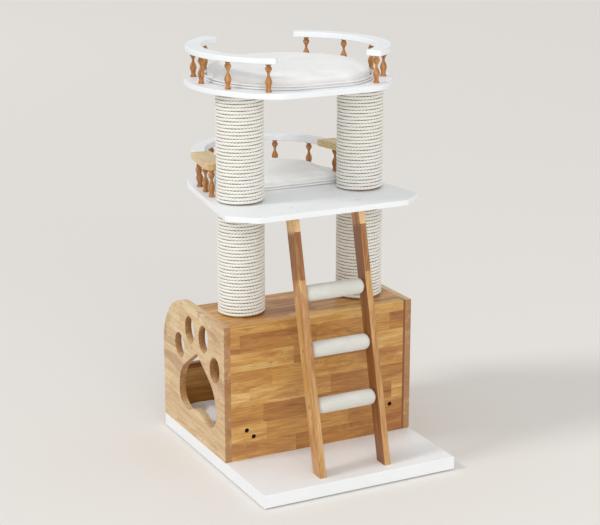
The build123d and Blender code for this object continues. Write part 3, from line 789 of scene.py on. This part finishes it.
# %% Rung covers
sleeve_room = 0.6 * MM
end_rounding = 8 * MM
gathered_end = 1.5 * MM
same_end = 1e-6
low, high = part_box("rung_cover_1")
cover_radius = (high.z - low.z) / 2
deselect()
bpy.ops.mesh.primitive_cylinder_add(vertices=64, radius=cover_radius - sleeve_room, depth=high.x - low.x,
                                    location=(0, 0, 0), rotation=(0, math.pi / 2, 0))
sleeve = bpy.context.object
bpy.ops.object.transform_apply(location=True, rotation=True, scale=True)
bpy.ops.object.mode_set(mode="EDIT")
bpy.ops.mesh.select_all(action="DESELECT")
bpy.ops.object.mode_set(mode="OBJECT")
for edge in sleeve.data.edges:
    ends = [sleeve.data.vertices[i].co.x for i in edge.vertices]
    edge.select = abs(ends[0] - ends[1]) < same_end
bpy.ops.object.mode_set(mode="EDIT")
bpy.ops.mesh.bevel(offset=end_rounding, offset_type="OFFSET", segments=6, affect="EDGES")
bpy.ops.object.mode_set(mode="OBJECT")
sleeve.data.remesh_voxel_size = 2.5 * MM
bpy.ops.object.voxel_remesh()
co = points_of(sleeve.data)
sleeve_pressure = 3.0
sleeve_cap = 0.8 * MM
inflate(sleeve, sleeve_pressure, sleeve_cap, np.abs(co[:, 0]) > (high.x - low.x) / 2 - gathered_end)
soften(sleeve)
finish_with(sleeve, rung_fleece)

# %% Put a sleeve on each rung
# Each sleeve is turned by another angle, so that no two show the same wrinkles.
turn_each = 0.7
for number in (1, 2, 3):
    low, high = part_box(f"rung_cover_{number}")
    piece = bpy.data.objects.new(f"rung_sleeve_{number}", sleeve.data.copy())
    bpy.context.scene.collection.objects.link(piece)
    piece.data.transform(Matrix.Translation((low + high) / 2) @ Matrix.Rotation(turn_each * number, 4, "X"))
    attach(piece, "frame")
    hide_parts(f"rung_cover_{number}")
    print(piece.name, "faces", len(piece.data.polygons))
bpy.data.objects.remove(sleeve)

# %% [markdown]
# ## Screws and bolts
# The heads that show are small, but a flat disc reads as paint. Each is a turned head with a hexagon
# socket: a round rim and a hexagon are bridged, the hexagon is pushed in, and the rim is softened.

# %% One socket head
near = 1e-5
level = 1e-6


def socket_head(name, radius, socket, height, depth):
    """A round head, its top face at z = 0, with a hexagon socket; made facing up at the origin."""
    deselect()
    bpy.ops.mesh.primitive_circle_add(vertices=24, radius=radius)
    piece = bpy.context.object
    piece.name = name
    bpy.ops.object.mode_set(mode="EDIT")
    bpy.ops.mesh.primitive_circle_add(vertices=6, radius=socket)
    bpy.ops.mesh.select_all(action="SELECT")
    bpy.ops.mesh.bridge_edge_loops()
    for ring_radius, drop in ((socket, depth), (radius, height)):
        bpy.ops.mesh.select_all(action="DESELECT")
        bpy.ops.object.mode_set(mode="OBJECT")
        vertices = piece.data.vertices
        for edge in piece.data.edges:
            ends = [vertices[i].co for i in edge.vertices]
            edge.select = all(abs(end.xy.length - ring_radius) < near and abs(end.z) < level for end in ends)
        bpy.ops.object.mode_set(mode="EDIT")
        bpy.ops.mesh.extrude_region_move(TRANSFORM_OT_translate={"value": (0, 0, -drop)})
        bpy.ops.mesh.edge_face_add()
    bpy.ops.mesh.select_all(action="SELECT")
    bpy.ops.mesh.normals_make_consistent(inside=False)
    bpy.ops.object.mode_set(mode="OBJECT")
    rim = piece.modifiers.new("rim", "BEVEL")
    rim.width = 0.3 * MM
    rim.segments = 2
    rim.limit_method = "ANGLE"
    apply_all_modifiers(piece)
    bpy.ops.object.shade_smooth_by_angle(angle=math.radians(35))
    return piece


def place_heads(name, head, finish, places, replaced=None):
    """Copies the head to each place, as one piece; each place is a matrix."""
    copies = []
    for matrix in places:
        copy = bpy.data.objects.new(name, head.data.copy())
        bpy.context.scene.collection.objects.link(copy)
        copy.data.transform(matrix)
        copies.append(copy)
    only(copies[0])
    for copy in copies:
        copy.select_set(True)
    bpy.ops.object.join()
    piece = bpy.context.object
    piece.name = piece.data.name = name
    finish_with(piece, finish)
    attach(piece, "frame")
    if replaced:
        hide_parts(replaced)
    bpy.data.objects.remove(head)
    print(name, "of", len(places), "heads")


# %% Rung screws, in the outer faces of the ladder's sides
outer_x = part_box("ladder_right_stringer")[1].x
places = []
for number in (1, 2, 3):
    low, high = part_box(f"rung_cover_{number}")
    axis_point = (low + high) / 2
    for side in (-1, 1):
        turn = Matrix.Rotation(side * math.pi / 2, 4, "Y")
        places.append(Matrix.Translation((side * outer_x, axis_point.y, axis_point.z)) @ turn)
head = socket_head("screw_head", 3.9 * MM, 1.7 * MM, 1.5 * MM, 1.0 * MM)
place_heads("rung_screw_heads", head, zinc, places, "rung_screws")

# %% Sunk bolts in the lower corners of the front panel
low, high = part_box("corner_block_bolts")
bolt_radius = 5 * MM
bolt_step = 16 * MM
sunk = 1.0 * MM
places = []
for side in (-1, 1):
    for step, z in ((0, high.z - bolt_radius), (bolt_step, low.z + bolt_radius)):
        x = side * (high.x - bolt_radius - step)
        places.append(Matrix.Translation((x, low.y + sunk, z)) @ Matrix.Rotation(math.pi / 2, 4, "X"))
head = socket_head("bolt_head", 4.9 * MM, 2.6 * MM, 1.8 * MM, 1.5 * MM)
place_heads("corner_bolt_heads", head, black_steel, places, "corner_block_bolts")

# %% [markdown]
# The two screws that hold the ladder's head are under white plastic caps on the middle platform.

# %% Screw caps
cap_height = 0.9 * MM
low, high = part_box("middle_platform")
stringer_x = (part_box("ladder_right_stringer")[0].x + outer_x) / 2
head = socket_head("cap", 5.2 * MM, 1.2 * MM, cap_height, 0.2 * MM)
cap_plastic = speckled("white_cap_plastic", "e4e2df", "eceae8", 900, 0.4)
places = [Matrix.Translation((side * stringer_x, head_y, high.z + cap_height)) for side in (-1, 1)]
place_heads("ladder_screw_caps", head, cap_plastic, places)
